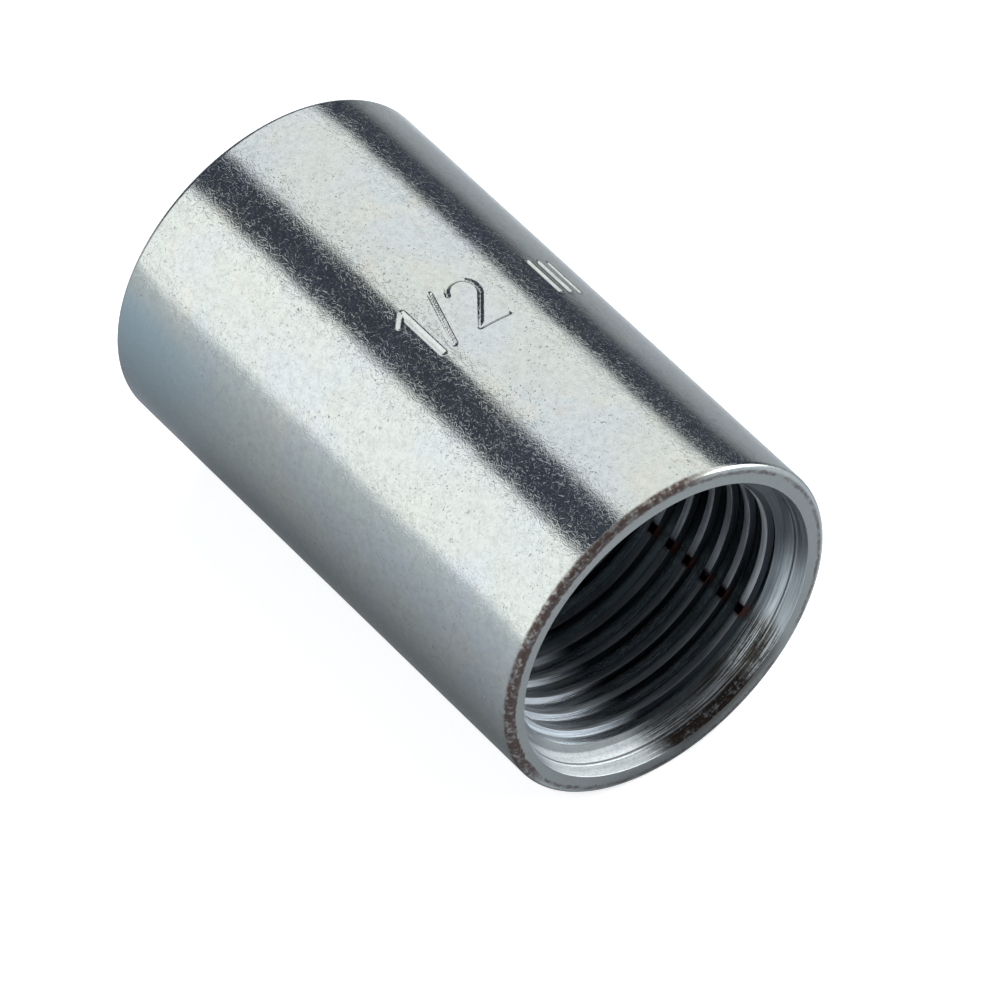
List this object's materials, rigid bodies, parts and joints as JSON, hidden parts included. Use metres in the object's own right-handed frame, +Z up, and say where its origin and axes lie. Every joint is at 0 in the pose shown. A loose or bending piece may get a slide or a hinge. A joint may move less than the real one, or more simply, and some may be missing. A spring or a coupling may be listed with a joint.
{
  "type": "threaded conduit coupling",
  "caption": "Short zinc-plated steel sleeve, threaded right through, that joins the threaded ends of rigid steel conduit.",
  "frame": {"origin": "on the bore's axis, half way between the two end faces", "axes": "+X along the bore, +Z up with the sleeve lying on its side; the two ends are alike"},
  "size_m": [0.0426, 0.0258, 0.0258],
  "materials": {
    "zinc_plated_steel": "bright zinc plating, semi-gloss, finely scratched by handling"
  },
  "bodies": {
    "root": {"conduit_coupling": "zinc_plated_steel"}
  },
  "joints": []
}
